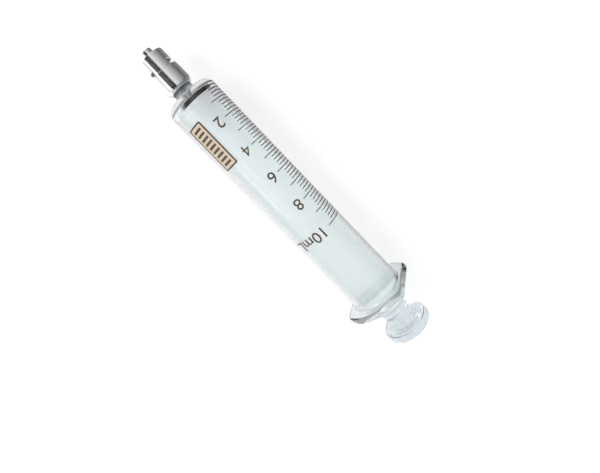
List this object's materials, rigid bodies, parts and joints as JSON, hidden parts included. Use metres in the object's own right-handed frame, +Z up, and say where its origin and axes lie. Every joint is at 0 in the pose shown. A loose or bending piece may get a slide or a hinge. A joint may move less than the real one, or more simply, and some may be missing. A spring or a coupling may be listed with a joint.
{
  "type": "glass syringe",
  "caption": "All-glass syringe with a ground plunger, graduated barrel with finger flange, and a metal luer lock nozzle.",
  "frame": {"origin": "under the middle of the syringe's length, on the surface that it lies on", "axes": "+X along the syringe's axis from the nozzle to the thumb button, +Z up; the middle of the scale is 59 degrees from +Z towards +Y"},
  "size_m": [0.1234, 0.0258, 0.0248],
  "materials": {
    "clear_glass": "clear borosilicate glass, fire polished",
    "ground_glass": "finely ground glass, slightly milky, with a polished button",
    "plated_metal": "nickel plated brass, polished",
    "cement": "pale set cement",
    "enamel": "fired brown enamel"
  },
  "bodies": {
    "barrel_body": {"barrel": "clear_glass", "luer_hub": "plated_metal", "lock_collar": "plated_metal", "neck_cement": "cement", "scale_marks": "enamel"},
    "plunger_body": {"plunger": "ground_glass"}
  },
  "joints": [
    {"name": "plunger_slide", "type": "slide", "parent": "barrel_body", "child": "plunger_body", "axis": [1, 0, 0], "range_m": [0, 0.08]}
  ]
}
